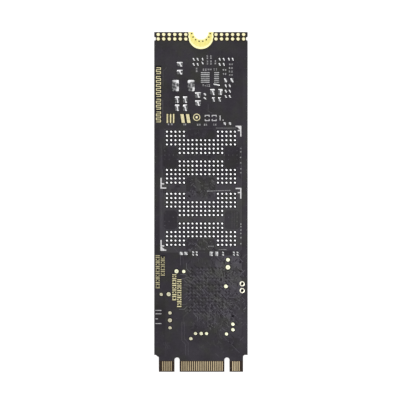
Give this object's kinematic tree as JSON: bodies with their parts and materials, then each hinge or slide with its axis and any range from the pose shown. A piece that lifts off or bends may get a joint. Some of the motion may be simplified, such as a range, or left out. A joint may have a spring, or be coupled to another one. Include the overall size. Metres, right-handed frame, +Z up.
{
  "type": "gumstick solid state drive",
  "caption": "Slim storage module: a long board with a keyed contact tongue at one end, a plated half hole for its screw at the other and packages on one side.",
  "frame": {"origin": "middle of the bounding box at its lowest level, the faces of the two flash packages", "axes": "+X across the board, +Y along it from the contact tongue towards the half hole, +Z up through the bare back of the board"},
  "size_m": [0.022, 0.08, 0.0021],
  "materials": {
    "solder_mask": "satin near-black solder mask over glass-epoxy laminate",
    "pad_gold": "bright gold plating",
    "contact_gold": "hard gold plating, worn by insertion",
    "tin": "bright tinned solder",
    "print_white": "matt white print",
    "moulding": "fine-grained black moulding compound",
    "substrate": "dark green package laminate",
    "ferrite": "dark grey pressed ferrite",
    "crystal_can": "brushed plated can",
    "capacitor": "tan fired ceramic with tinned ends",
    "resistor": "dark glazed film with tinned ends",
    "fuse": "green glazed body with tinned ends"
  },
  "bodies": {
    "root": {"circuit_board": "solder_mask", "mounting_pad": "pad_gold", "ground_dots": "pad_gold", "edge_contacts_back": "contact_gold", "edge_contacts_front": "contact_gold", "flash_lands_upper": "tin", "flash_lands_lower": "tin", "power_lands": "tin", "regulator_lands": "tin", "filter_lands": "tin", "test_points": "pad_gold", "ringed_holes": "tin", "corner_marks": "print_white", "flash_moulding_upper": "moulding", "flash_moulding_lower": "moulding", "flash_substrate_upper": "substrate", "flash_substrate_lower": "substrate", "flash_balls_upper": "tin", "flash_balls_lower": "tin", "controller_moulding": "moulding", "controller_substrate": "substrate", "controller_balls": "tin", "power_chip": "moulding", "power_inductors": "ferrite", "load_switch": "moulding", "input_fuse": "fuse", "crystal": "crystal_can", "settings_memory": "moulding", "bulk_capacitors": "capacitor", "decoupling_capacitors": "capacitor", "coupling_capacitors": "capacitor", "resistors": "resistor"}
  },
  "joints": []
}
